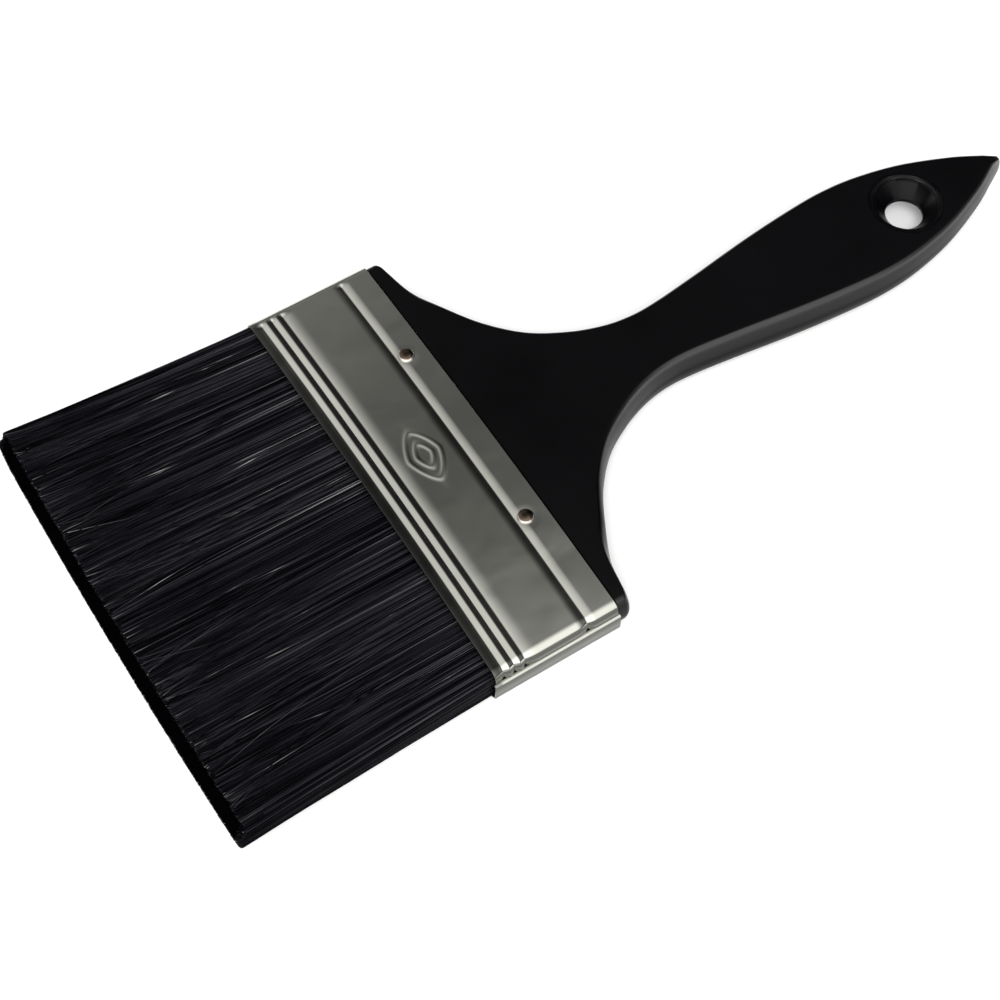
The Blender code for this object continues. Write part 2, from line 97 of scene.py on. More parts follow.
MARK_RINGS = (1.0, 0.5)  # its raised lines, as shares of its size
FINE_MARGIN = (0.4 * MM, 1.2 * MM)  # finer mesh past the dimples and past the lozenge
FOLD_STEPS = 14

# Handle sizes, as in the CAD
HANDLE_THICKNESS = 10.2 * MM
HANDLE_TIP_THICKNESS = 9.0 * MM
HANDLE_EDGE = 1.6 * MM
EDGE_SLANT = 0.4
EDGE_POWER = 1.9  # 2 is an ellipse; less makes a crisper edge round the flat faces
WIDEST_EDGE = 0.62
EDGE_STEPS = 14
LEVEL_STEPS = 26
FACE_SHINE = 0.17  # specular levels of the moulded plastic
UNDER_SHINE = 0.03
SIDE_SHINE = 0.5
CREASE_SHINE = 0.7
LIP_SHINE = 1.0
CREASE_TURN = 26.0  # degrees round the edge from the flat face
CREASE_SPREAD = 11.0
SHOULDER_GLEAM = (  # place beyond the ferrule, share of the side's shine
    (0.0, 0.6),
    (3.0 * MM, 0.5),
    (8.0 * MM, 0.0),
    (12.0 * MM, 0.0),
    (34.0 * MM, 1.0),
)
BLOCK_SHOWN = 3.0 * MM  # how much of the hidden block the visual handle keeps
BLOCK_STEP = 0.02 * MM  # length over which the block steps out to the shoulder
SHOULDER_STRAIGHT = 2.0 * MM
SHOULDER_CORNER = 1.5 * MM
SHOULDER_TURN = 76.0  # degrees that the shoulder's corner turns through
SHOULDER_STEPS = 8
SHOULDER_SUNK = 0.2 * MM
SHOULDER_BLEND = 12.0 * MM
NECK_BLEND = 0.16
THIN_FROM = 0.5
OUTLINE = (  # share of the length beyond the ferrule, half width
    (0.037, 40.5 * MM),
    (0.067, 31.8 * MM),
    (0.103, 23.6 * MM),
    (0.151, 16.6 * MM),
    (0.206, 12.0 * MM),
    (0.256, 9.4 * MM),
    (0.300, 8.4 * MM),
    (0.345, 8.5 * MM),
    (0.420, 9.7 * MM),
    (0.541, 12.0 * MM),
    (0.635, 13.3 * MM),
    (0.700, 13.7 * MM),
    (0.765, 13.0 * MM),
    (0.844, 10.6 * MM),
    (0.923, 6.4 * MM),
    (0.970, 3.0 * MM),
)
OUTLINE_STEPS = 10  # between two points of the outline
TIP_ROUND = 2.6 * MM
TIP_EDGE = 0.2
TIP_END = 86.0  # degrees round the tip's nose at its last section
TIP_STEPS = 16
HOLE_FROM_TIP = 27.1 * MM
HOLE_RADIUS = 4.25 * MM
HOLE_WAIST = 0.8 * MM
SINK_RADIUS = 7.6 * MM
SINK_LIP = 1.8 * MM  # radius that rounds the countersink into the face
LIP_FROM = 7.15 * MM  # the lip shines outside this radius
LIP_STEPS = 8
NEAR_LIP = 0.85  # a ring of the cone lies this share of the way from the waist to the lip
HOLE_SIDES = 96
CUTTER_FLARE = 0.02 * MM
CUTTER_BEYOND = 1.0 * MM

# Nails
NAIL_HEAD_RADIUS = 1.8 * MM
NAIL_HEAD_HEIGHT = 0.9 * MM
NAIL_RIM = 1.45 * MM  # the head is painted bright outside this radius, a painted highlight, and dark inside it, a painted reflection
NAIL_SHOWN = 1.2 * MM  # length of shank below the head
NAIL_SHANK_RADIUS = 0.55 * MM
NAIL_UNDER = 0.97  # the head's radius on its underside, as a share
NAIL_LIP = 0.05 * MM
DOME_STEPS = 9
DOME_END = 86.0  # degrees up the dome at its last ring
NAIL_SIDES = 48

# Bristles
TIP_SLANT = 1.5 * MM  # the upper filaments end this much short of the lowest ones
TIP_RAGGED = 0.35 * MM
TIP_LEAN = 1.2 * MM  # the tips lean this much towards the far side
TIP_SCATTER = (0.18 * MM, 0.10 * MM)  # of the tips across the brush and through it
TIP_SHORT = 0.28 * MM  # how unevenly the filaments are cut
CORNER_SHORT = 0.8 * MM  # the pack's corners are this much shorter
SLANT_FROM = 0.2  # the slanted cut starts this share below the middle plane
PACK_CORNER = 1.8 * MM  # radius of the pack's corners at the mouth
TIP_CORNER_FROM = 0.93  # the tips thin out from this share of the half width
TIP_CORNER_WIDTH = 0.07
TIP_CORNER_LEAST = 0.06
FILAMENT_RADIUS = 0.12 * MM
FILAMENT_TAPER = 0.55  # radius at the tip, as a share
SPREAD_POWER = 1.15  # the pack changes from the mouth's shape to the tips' with this power
GATHER_PLACES = 62.0  # places across the half width that the tips gather towards
GATHER_LAYERS = 5.0  # and layers through the half thickness
GATHER_SCATTER = 0.25
ROOT_INSIDE = 1.0 * MM  # the filaments start this far inside the ferrule
SPIN_STEP = 2.399963  # radians that each tube is turned from the one before
TUFTS = 190  # groups of filaments across the brush that share a tone
BUNDLES = 520
BUNDLE_SHARE = 0.68  # how much of a shared tone is the bundle's, the rest being the tuft's
OWN_SHARE = 0.4  # how much of a filament's tone is its own
TONE_SCALE = 0.88
ROOT_TONE = 1.14  # tones at the root, and how much darker they are at the tip
TONE_FALL = 0.30
WORN_TIP_LIGHT_LENGTH = 0.07  # a worn tip's painted highlight brightens over this share of the free length
STRAY_LIMIT = 0.96  # strays stop at this share of the half width, before the tips lean
STATIONS = (0.0, 0.05, 0.1, 0.15, 0.2, 0.25, 0.31, 0.44, 0.6, 0.8, 1.0)  # closest where they bend
FACE_LAYERS = (  # name, count, lowest and highest share through the pack
    ("bristles_top_a", 3000, 0.9, 1.0),
    ("bristles_top_b", 2900, 0.82, 1.0),
    ("bristles_under_a", 2600, -1.0, -0.9),
    ("bristles_under_b", 2000, -1.0, -0.84),
)
FACE_CLUMP = 0.75
FACE_WAVE = 0.16 * MM
LOOSE_SHARE = 0.03  # this share of a face's filaments strays widely
LOOSE_SCATTER = 1.8 * MM
FACE_SCATTER = 0.3 * MM
FACE_GLINTS = (0.05, 0.10)  # shares of the filaments that catch the light part way along, and at the tip
SIDE_COUNT = 900
SIDE_DEPTH = 0.035  # as a share of the half width
SIDE_DEPTH_POWER = 1.5
SIDE_GLINTS = (0.02, 0.03)
SIDE_CLUMP = 0.4
SIDE_WAVE = 0.1 * MM
STRAY_COUNT = 110  # stray filaments that cross the top layer
STRAY_DRIFT = 4.5 * MM
STRAY_POWER = 2.2
STRAY_WAVE = 0.3 * MM
STRAY_LIFT = 0.12 * MM
STRAY_GLINTS = (0.9, 0.5)
TIP_COUNT = 15000  # cut ends between the face layers
TIP_STATIONS = (0.93, 1.0)
TIP_CLUMP = 0.55
TIP_WIDER = 1.2
CORE_STATIONS = (61, 25)  # points across the core and rings along it
CORE_INSET = 0.55 * MM
CORE_SHORT = 2.4 * MM
CORE_LEAST = 0.3 * MM

# Camera, in degrees and as a distance; its target is from the middle of the mouth
CAMERA_AZIMUTH = -32.89
CAMERA_ELEVATION = 59.60
CAMERA_ROLL = 0.477
CAMERA_DISTANCE = 431.2 * MM
CAMERA_TARGET = (23.75 * MM, -14.12 * MM)
CAMERA_LENS = 75.08

ferrule_low, ferrule_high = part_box("ferrule")
handle_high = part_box("handle")[1]
pack_low, pack_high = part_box("bristle_pack")
MOUTH_X = ferrule_low.x + LAP_OVERHANG
COLLAR_X = ferrule_high.x - LAP_OVERHANG
FERRULE_LENGTH = COLLAR_X - MOUTH_X
MID_Z = (ferrule_low.z + ferrule_high.z) / 2
HALF_WIDTH = ferrule_high.y
FACE_HALF = HALF_WIDTH - FERRULE_CORNER
INNER_HALF = HALF_WIDTH - SHEET
TIP_X = handle_high.x
HANDLE_BEYOND = TIP_X - COLLAR_X
BRISTLE_TIP_X = pack_low.x
BRISTLE_OUT = MOUTH_X - BRISTLE_TIP_X
TIP_HALF_WIDTH = (pack_high.y - pack_low.y) / 2
NAILS = {}
for face_name, face_sign in (("top", 1.0), ("underside", -1.0)):
    for side_name in ("far", "near"):
        node = f"nail_{face_name}_{side_name}"
        low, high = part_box(node)
        head = high.z if face_sign > 0.0 else low.z
        NAILS[node] = (Vector(((low.x + high.x) / 2, (low.y + high.y) / 2, head)), face_sign)

HANDLE_BODY = "handle_and_ferrule"


# ---------------------------------------------------------------- helpers

def smooth(t):
    t = np.clip(t, 0.0, 1.0)
    return t * t * (3.0 - 2.0 * t)


def mix(a, b, t):
    return a + (b - a) * t


def add_mesh(name, points, faces, finish, sharp_degrees=40.0):
    mesh = bpy.data.meshes.new(name)
    mesh.from_pydata([tuple(point) for point in points], [], faces)
    mesh.validate()
    mesh.materials.append(finish)
    mesh.shade_smooth()
    mesh.set_sharp_from_angle(angle=math.radians(sharp_degrees))
    made = bpy.data.objects.new(name, mesh)
    bpy.context.scene.collection.objects.link(made)
    return made


def ring_faces(rings, count):
    """Quads between consecutive rings, and a cap on each end ring."""
    faces = []
    for row in range(rings - 1):
        for i in range(count):
            j = (i + 1) % count
            a = row * count
            b = a + count
            faces.append((a + i, b + i, b + j, a + j))
    faces.append(tuple(range(count)))
    faces.append(tuple(reversed(range((rings - 1) * count, rings * count))))
    return faces


def hold_values(made, name, values):
    """Keeps one number for each point of a mesh, which its material reads by name."""
    attribute = made.data.attributes.new(name, "FLOAT", "POINT")
    attribute.data.foreach_set("value", values)


def face_out(made):
    """Turns every face of a closed mesh outward."""
    shape = bmesh.new()
    shape.from_mesh(made.data)
    bmesh.ops.recalc_face_normals(shape, faces=shape.faces)
    shape.to_mesh(made.data)
    shape.free()
    return made


# ---------------------------------------------------------------- materials

class Finish:
    """A node material built up in code around one Principled BSDF."""

    def __init__(self, name):
        self.material = bpy.data.materials.new(name)
        self.material.use_nodes = True
        self.nodes = self.material.node_tree.nodes
        self.links = self.material.node_tree.links
        self.shader = self.nodes["Principled BSDF"]
        self.coordinates = self.nodes.new("ShaderNodeTexCoord").outputs["Object"]

    def set(self, **values):
        for name, value in values.items():
            self.shader.inputs[name.replace("_", " ")].default_value = value

    def stretched(self, scale):
        node = self.nodes.new("ShaderNodeMapping")
        node.inputs["Scale"].default_value = scale
        self.links.new(self.coordinates, node.inputs["Vector"])
        return node.outputs["Vector"]

    def noise(self, scale, detail=2.0, roughness=0.5, vector=None, distortion=0.0):
        node = self.nodes.new("ShaderNodeTexNoise")
        node.inputs["Scale"].default_value = scale
        node.inputs["Detail"].default_value = detail
        node.inputs["Roughness"].default_value = roughness
        node.inputs["Distortion"].default_value = distortion
        self.links.new(vector or self.coordinates, node.inputs["Vector"])
        return node.outputs["Fac"]

    def attribute(self, name):
        node = self.nodes.new("ShaderNodeAttribute")
        node.attribute_name = name
        return node.outputs["Fac"]

    def ramp(self, value, stops):
        """Colour ramp from (position, colour) stops; a colour may be one grey number."""
        node = self.nodes.new("ShaderNodeValToRGB")
        elements = node.color_ramp.elements
        while len(elements) < len(stops):
            elements.new(0.5)
        for element, (position, colour) in zip(elements, stops):
            element.position = position
            grey = isinstance(colour, float)
            element.color = (colour, colour, colour, 1.0) if grey else (*colour, 1.0)
        self.links.new(value, node.inputs["Fac"])
        return node.outputs["Color"]

    def times(self, a, b):
        node = self.nodes.new("ShaderNodeMix")
        node.data_type = "RGBA"
        node.blend_type = "MULTIPLY"
        node.inputs["Factor"].default_value = 1.0
        self.links.new(a, node.inputs["A"])
        self.links.new(b, node.inputs["B"])
        return node.outputs["Result"]

    def drive(self, name, output):
        self.links.new(output, self.shader.inputs[name])

    def bump(self, *layers):
        """Layers of (height output, depth in metres), stacked."""
        below = None
        for height, depth in layers:
            node = self.nodes.new("ShaderNodeBump")
            node.inputs["Strength"].default_value = 1.0
            node.inputs["Distance"].default_value = depth
            self.links.new(height, node.inputs["Height"])
            if below:
                self.links.new(below, node.inputs["Normal"])
            below = node.outputs["Normal"]
        self.links.new(below, self.shader.inputs["Normal"])


def plastic_finish():
    finish = Finish("black_plastic")
    grain = finish.noise(2600.0, 3.0, 0.6)
    cloud = finish.noise(38.0, 4.0, 0.55)
    black = finish.ramp(cloud, ((0.3, (0.0010, 0.0010, 0.0014)), (0.7, (0.0018, 0.0018, 0.0024))))
    finish.drive("Base Color", black)
    finish.drive("Roughness", finish.ramp(cloud, ((0.3, 0.27), (0.7, 0.34))))
    finish.drive("Specular IOR Level", finish.ramp(finish.attribute("shine"), ((0.0, 0.0), (1.0, 1.0))))
    finish.bump((grain, 0.010 * MM))
    return finish.material


def metal_finish():
    finish = Finish("tinned_steel")
    rolling = finish.noise(1.0, 4.0, 0.6, finish.stretched((5200.0, 90.0, 5200.0)))
    smudge = finish.noise(95.0, 5.0, 0.6, distortion=0.6)
    tint = finish.noise(30.0, 3.0, 0.5)
    plate = finish.ramp(tint, ((0.3, (0.56, 0.565, 0.515)), (0.7, (0.63, 0.63, 0.58))))
    # painted shade: the plate's colour is darkened where its points carry painted shade, on the near
    # corner, the lap, the mouth's lip and the cut edge
    wear_and_painted_light = finish.ramp(finish.attribute("painted_shade"), ((0.0, 1.0), (0.35, 0.24), (0.8, 0.14), (1.0, 0.22)))
    finish.drive("Base Color", finish.times(plate, wear_and_painted_light))
    roughness = finish.times(
        finish.ramp(smudge, ((0.35, 0.12), (0.7, 0.20))), finish.ramp(rolling, ((0.2, 0.8), (0.8, 1.0)))
    )
    finish.drive("Roughness", roughness)
    finish.set(Metallic=1.0)
    waves = finish.noise(75.0, 1.5, 0.4, distortion=0.4)
    finish.bump((waves, 0.32 * MM), (rolling, 0.0006 * MM), (smudge, 0.005 * MM))
    return finish.material


def nail_finish():
    finish = Finish("nail_steel")
    scuffs = finish.noise(900.0, 4.0, 0.6)
    wear_and_painted_light = finish.ramp(scuffs, ((0.3, (0.72, 0.70, 0.68)), (0.7, (1.0, 1.0, 1.0))))
    # painted reflection: the head is painted dark inside the rim, and bright outside it as a painted
    # highlight
    rim = finish.ramp(finish.attribute("rim"), ((0.0, (0.15, 0.115, 0.085)), (1.0, (0.88, 0.85, 0.80))))
    finish.drive("Base Color", finish.times(rim, wear_and_painted_light))
    finish.drive("Roughness", finish.ramp(scuffs, ((0.3, 0.05), (0.7, 0.10))))
    finish.set(Metallic=1.0)
    finish.bump((scuffs, 0.003 * MM))
    return finish.material


def bristle_finish():
    finish = Finish("bristle_filament")
    streaks = finish.noise(1.0, 3.0, 0.6, finish.stretched((60.0, 2500.0, 2500.0)))
    # the highest tones are painted highlights, which the glints and the worn tips reach
    tone = finish.ramp(
        finish.attribute("tone"),
        ((0.0, (0.0002, 0.0002, 0.0003)), (0.3, (0.0016, 0.0015, 0.0024)), (0.55, (0.0115, 0.0112, 0.0155)),
         (0.8, (0.052, 0.051, 0.060)), (1.0, (0.50, 0.495, 0.48))),
    )
    finish.drive("Base Color", finish.times(tone, finish.ramp(streaks, ((0.3, 0.55), (0.7, 1.0)))))
    finish.drive("Roughness", finish.ramp(streaks, ((0.3, 0.36), (0.7, 0.48))))
    gleam = finish.ramp(finish.attribute("tone"), ((0.0, 0.0), (0.4, 0.03), (0.7, 0.12), (1.0, 0.4)))
    finish.drive("Specular IOR Level", gleam)
    finish.bump((streaks, 0.01 * MM))
    return finish.material


def core_finish():
    finish = Finish("bristle_core")
    streaks = finish.noise(1.0, 4.0, 0.65, finish.stretched((40.0, 4200.0, 4200.0)))
    # partly painted shade: near black like the filaments but darker and without sheen, so the gaps between
    # the outer filaments read as shade deep in the pack
    black = finish.ramp(streaks, ((0.35, (0.0004, 0.0004, 0.0006)), (0.7, (0.0016, 0.0016, 0.0022))))
    finish.drive("Base Color", black)
    finish.drive("Roughness", finish.ramp(streaks, ((0.3, 0.7), (0.7, 0.55))))
    finish.set(Specular_IOR_Level=0.0)
    finish.bump((streaks, 0.08 * MM))
    return finish.material


def board_finish():
    finish = Finish("spacer_board")
    grain = finish.noise(1.0, 5.0, 0.6, finish.stretched((900.0, 60.0, 900.0)))
    finish.drive("Base Color", finish.ramp(grain, ((0.3, (0.34, 0.22, 0.11)), (0.7, (0.52, 0.37, 0.21)))))
    finish.drive("Roughness", finish.ramp(grain, ((0.3, 0.75), (0.7, 0.88))))
    finish.bump((grain, 0.05 * MM))
    return finish.material


def resin_finish():
    finish = Finish("setting_resin")
    cloud = finish.noise(160.0, 4.0, 0.6)
    finish.drive("Base Color", finish.ramp(cloud, ((0.3, (0.40, 0.29, 0.10)), (0.7, (0.60, 0.47, 0.20)))))
    finish.drive("Roughness", finish.ramp(cloud, ((0.3, 0.18), (0.7, 0.34))))
    finish.bump((cloud, 0.08 * MM))
    return finish.material


# ---------------------------------------------------------------- ferrule

def crown_at(along):
    return mix(CROWN_MOUTH, CROWN_COLLAR, np.clip(along / FERRULE_LENGTH, 0.0, 1.0))


def face_height(along, y):
    """Height of the ferrule's outer face over the middle plane."""
    return FERRULE_SIDE / 2 + crown_at(along) * (1.0 - (y / FACE_HALF) ** 2)


def groove_at(along):
    """Depth of the pressed grooves: each has a crisp bottom between two curved walls."""
    depth = 0.0
    for place, before, before_power, after, after_power in GROOVES:
        away = along - place
        reach, power = (before, before_power) if away < 0.0 else (after, after_power)
        if abs(away) < reach:
            depth = max(depth, GROOVE_DEPTH * (1.0 - abs(away) / reach) ** power)
    return depth


def pressed(along, y, face_sign):
    """Dimples round the nails, and on the top face the raised lozenge."""
    lift = 0.0
    for place, sign in NAILS.values():
        if sign == face_sign:
            away = math.hypot(along - (place.x - MOUTH_X), y - place.y) / DIMPLE_RADIUS
            if away < 1.0:
                lift -= DIMPLE_DEPTH * 0.5 * (1.0 + math.cos(math.pi * away))
    if face_sign > 0.0:
        across = abs(along - MARK_PLACE) / MARK_SIZE[0]
        wide = abs(y) / MARK_SIZE[1]
        reach = (across ** MARK_POWER + wide ** MARK_POWER) ** (1.0 / MARK_POWER)
        for line in MARK_RINGS:
            away = (reach - line) * MARK_SIZE[0] / MARK_LINE
            lift += MARK_HEIGHT * math.exp(-away * away)
    return lift


def spaced(stops):
    """Places that run through (place, step) stops, each step holding up to the next stop."""
    places = []
    for (start, step), (end, _) in zip(stops, stops[1:]):
        count = max(int(round((end - start) / step)), 1)
        places += [start + (end - start) * k / count for k in range(count)]
    places.append(stops[-1][0])
    return places


def ferrule_stations():
    mm_stops = (  # place and step from the mouth in millimetres, closest at the grooves and both ends
        (0.0, 0.04), (0.16, 0.12), (1.12, 0.118), (2.3, 0.125), (4.8, 0.125), (7.3, 0.15), (8.5, 0.3),
        (10.9, 0.28), (18.1, 0.3), (19.3, 0.15), (22.0, 0.125), (24.0, 0.25), (27.0, 0.45),
        (28.74, 0.04), (28.9, 1.0),
    )
    scale = FERRULE_LENGTH / mm_stops[-1][0]
    return spaced([(place * scale, step * scale) for place, step in mm_stops])


def face_places():
    """Places across a face from its near end to its far end, closer where it is pressed."""
    nail = max(abs(place.y) for place, _ in NAILS.values())
    reach = DIMPLE_RADIUS + FINE_MARGIN[0]
    mark = MARK_SIZE[1] + FINE_MARGIN[1]
    half = [
        (0.0, 0.34 * MM), (mark, 2.0 * MM), (nail - reach, 0.45 * MM), (nail + reach, 2.4 * MM),
        (FACE_HALF - 2.0 * MM, 0.35 * MM), (FACE_HALF, 1.0),
    ]
    right = spaced(half)
    return [-y for y in reversed(right[1:])] + right


def run_out(y):
    """Share of the grooves' depth at a place across the brush: they end at the far fold."""
    return float(smooth((FACE_HALF + FAR_FADE - y) / (2.0 * FAR_FADE)))


def sheet_path(along):
    """The sheet's outer side round the sleeve: y, z, outward (y, z), lap lift, groove share, face."""
    side = FERRULE_SIDE / 2 - FERRULE_CORNER
    lift = SHEET + LAP_LIFT
    path = []
    for share, sunk in LAP_PROFILE:
        path.append((-HALF_WIDTH, share * LAP_HALF, (-1.0, 0.0), lift - sunk, 0.0, 0.0))

    def corner(y_sign, z_sign, start, lifted, grooved):
        for step in range(FOLD_STEPS + 1):
            share = step / FOLD_STEPS
            angle = math.radians(start + 90.0 * share)
            out = (math.cos(angle), math.sin(angle))
            y = y_sign * FACE_HALF + FERRULE_CORNER * out[0]
            z = z_sign * side + FERRULE_CORNER * out[1]
            path.append((y, z, out, lifted * (1.0 - smooth(share)), grooved(share, y), 0.0))

    def face(z_sign):
        for y in face_places()[1:-1]:
            y = -z_sign * y
            path.append((y, z_sign * face_height(along, y), (0.0, z_sign), 0.0, run_out(y), z_sign))

    corner(-1.0, -1.0, 180.0, lift, lambda share, y: smooth(share))
    face(-1.0)
    corner(1.0, -1.0, 270.0, 0.0, lambda share, y: run_out(y))
    corner(1.0, 1.0, 0.0, 0.0, lambda share, y: run_out(y))
    face(1.0)
    corner(-1.0, 1.0, 90.0, 0.0, lambda share, y: 1.0)
    for share in (0.4, 0.75, 1.0):
        path.append((-HALF_WIDTH, mix(side, LAP_HIDDEN - LAP_HALF, share), (-1.0, 0.0), 0.0, 1.0, 0.0))
    return path


def ferrule_ring(along, overhang, inset):
    groove = groove_at(along)
    outer = []
    inner = []
    for y, z, out, lift, grooved, face_sign in sheet_path(along):
        move = lift - groove * grooved
        if face_sign:
            move += pressed(along, y, face_sign)
        x = MOUTH_X + along + (overhang if lift > 0.0 else 0.0)
        # Painted shade for each point: the lower part of the near corner and the lap below its upper edge
        # are painted darker, the mouth's lip a little, and the sheet's cut edge at the mouth fully.
        low = smooth((-out[0] - SHADE_FROM) / (1.0 - SHADE_FROM))
        on_lip = lift > 0.0 and z > LAP_UNSHADED * LAP_HALF
        painted_shade = float(low) if y < 0.0 and not on_lip else 0.0
        past_lip = float(smooth((along - LIP_SHADE_FADE[0]) / (LIP_SHADE_FADE[1] - LIP_SHADE_FADE[0])))
        painted_shade = max(painted_shade, LIP_SHADE * (1.0 - past_lip))
        if along < SHEET_EDGE:
            painted_shade = 1.0
        for points, depth in ((outer, inset), (inner, SHEET - inset)):
            points.append((x, y + out[0] * (move - depth), MID_Z + z + out[1] * (move - depth), painted_shade))
    return outer + inner[::-1]


def make_ferrule(metal):
    stations = ferrule_stations()
    middle = FERRULE_LENGTH / 2
    points = []
    for along in stations:
        from_end = min(along, FERRULE_LENGTH - along)
        into = max(1.0 - from_end / SHEET_EDGE, 0.0)
        inset = SHEET_EDGE * (1.0 - math.sqrt(1.0 - into * into))
        overhang = LAP_OVERHANG * (along - middle) / middle
        points += ferrule_ring(along, overhang, inset)
    count = len(points) // len(stations)
    places = [point[:3] for point in points]
    sleeve = face_out(add_mesh("ferrule_sleeve", places, ring_faces(len(stations), count), metal, 50.0))
    hold_values(sleeve, "painted_shade", [point[3] for point in points])
    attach(sleeve, HANDLE_BODY)
    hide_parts("ferrule")


# ---------------------------------------------------------------- handle

def spline(points, steps):
    """Catmull-Rom curve through the points, ends included."""
    padded = [points[0]] + list(points) + [points[-1]]
    curve = []
    for i in range(1, len(padded) - 2):
        p0, p1, p2, p3 = padded[i - 1:i + 3]
        for step in range(steps):
            t = step / steps
            a = (p2 - p0) * 0.5
            b = (p3 - p1) * 0.5
            h1 = 2 * t ** 3 - 3 * t ** 2 + 1
            h2 = t ** 3 - 2 * t ** 2 + t
            h3 = -2 * t ** 3 + 3 * t ** 2
            h4 = t ** 3 - t ** 2
            curve.append(p1 * h1 + a * h2 + p2 * h3 + b * h4)
    curve.append(points[-1])
    return curve


def handle_outline():
    corner = [Vector((COLLAR_X + GAP, HALF_WIDTH)), Vector((COLLAR_X + SHOULDER_STRAIGHT, HALF_WIDTH))]
    centre = Vector((COLLAR_X + SHOULDER_STRAIGHT, HALF_WIDTH - SHOULDER_CORNER))
    for step in range(1, SHOULDER_STEPS + 1):
        angle = math.radians(90.0 - SHOULDER_TURN * step / SHOULDER_STEPS)
        corner.append(centre + SHOULDER_CORNER * Vector((math.cos(angle), math.sin(angle))))
    points = [corner[-1]]
    points += [Vector((COLLAR_X + share * HANDLE_BEYOND, half)) for share, half in OUTLINE]
    body = spline(points, OUTLINE_STEPS)
    start = body[-1]
    chord = start - body[-2]
    slant = math.atan2(-chord.y, chord.x)
    fall = math.tan(slant)
    nose = (start.y - fall * (TIP_X - start.x)) * math.cos(slant) / (1.0 - fall * math.cos(slant))
    tip = []
    for step in range(TIP_STEPS + 1):
        angle = slant + math.radians(TIP_END - math.degrees(slant)) * step / TIP_STEPS
        tip.append(Vector((TIP_X - nose + nose * math.sin(angle), nose * math.cos(angle))))
    return corner[:-1] + body + tip


def handle_half_thickness(x, y):
    beyond = (x - COLLAR_X) / HANDLE_BEYOND
    collar = face_height(FERRULE_LENGTH, min(abs(y), FACE_HALF)) - SHOULDER_SUNK
    thinning = smooth((beyond - THIN_FROM) / (1.0 - THIN_FROM))
    grip = mix(HANDLE_THICKNESS / 2, HANDLE_TIP_THICKNESS / 2, thinning)
    return mix(collar, grip, smooth(beyond / NECK_BLEND))


def plate_ring(x, half, edge, height):
    """A YZ ring with flat faces and superelliptical edges; height(y) is the half thickness."""
    flat = half - edge
    power = 2.0 / EDGE_POWER
    upper = []
    for step in range(EDGE_STEPS, 0, -1):
        angle = 0.5 * math.pi * step / EDGE_STEPS
        z = height(flat) * max(math.cos(angle), 0.0) ** power
        upper.append((flat + edge * math.sin(angle) ** power, z))
    for step in range(LEVEL_STEPS + 1):
        y = mix(flat, -flat, step / LEVEL_STEPS)
        upper.append((y, height(y)))
    for step in range(1, EDGE_STEPS):
        angle = 0.5 * math.pi * step / EDGE_STEPS
        upper.append((-flat - edge * math.sin(angle) ** power, height(flat) * math.cos(angle) ** power))
    lower = [(-y, -z) for y, z in upper]
    return [(x, y, MID_Z + z) for y, z in upper + lower]


def ring_shine(x):
    """Shine of a plate ring's points: low on the flat faces and under the sides, high on the creases
    except in the hollow of the shoulder."""
    gleam = float(np.interp(x - COLLAR_X, *zip(*SHOULDER_GLEAM)))
    edge = []
    for step in range(1, EDGE_STEPS + 1):
        turned = 90.0 * step / EDGE_STEPS
        crease = CREASE_SHINE * math.exp(-((turned - CREASE_TURN) / CREASE_SPREAD) ** 2)
        edge.append(gleam * (SIDE_SHINE * (1.0 - turned / 90.0) + crease) + UNDER_SHINE)
    face = [FACE_SHINE] * (LEVEL_STEPS + 1)
    upper = edge[::-1] + face + edge[:-1]
    under = [UNDER_SHINE] * EDGE_STEPS + face + [UNDER_SHINE] * (EDGE_STEPS - 1)
    return upper + under


def handle_rings():
    rings = []
    trim = SHEET + GAP
    for x in (COLLAR_X - BLOCK_SHOWN, COLLAR_X + GAP - BLOCK_STEP):

        def inside(y, along=x - MOUTH_X):
            return face_height(along, min(abs(y), FACE_HALF)) - trim

        rings.append(plate_ring(x, HALF_WIDTH - trim, FERRULE_CORNER, inside))
    outline = handle_outline()
    for i, point in enumerate(outline):
        before = outline[max(i - 1, 0)]
        after = outline[min(i + 1, len(outline) - 1)]
        along = (after - before).normalized()
        wanted = mix(FERRULE_CORNER, HANDLE_EDGE, smooth((point.x - COLLAR_X) / SHOULDER_BLEND))
        edge = min(wanted / max(abs(along.x), EDGE_SLANT), WIDEST_EDGE * point.y)
        into_tip = max(point.x - (TIP_X - TIP_ROUND), 0.0) / TIP_ROUND
        closing = math.sqrt(max(1.0 - into_tip ** 2, TIP_EDGE ** 2))

        def height(y, x=point.x, closing=closing):
            return handle_half_thickness(x, y) * closing

        rings.append(plate_ring(point.x, point.y, edge, height))
    return rings


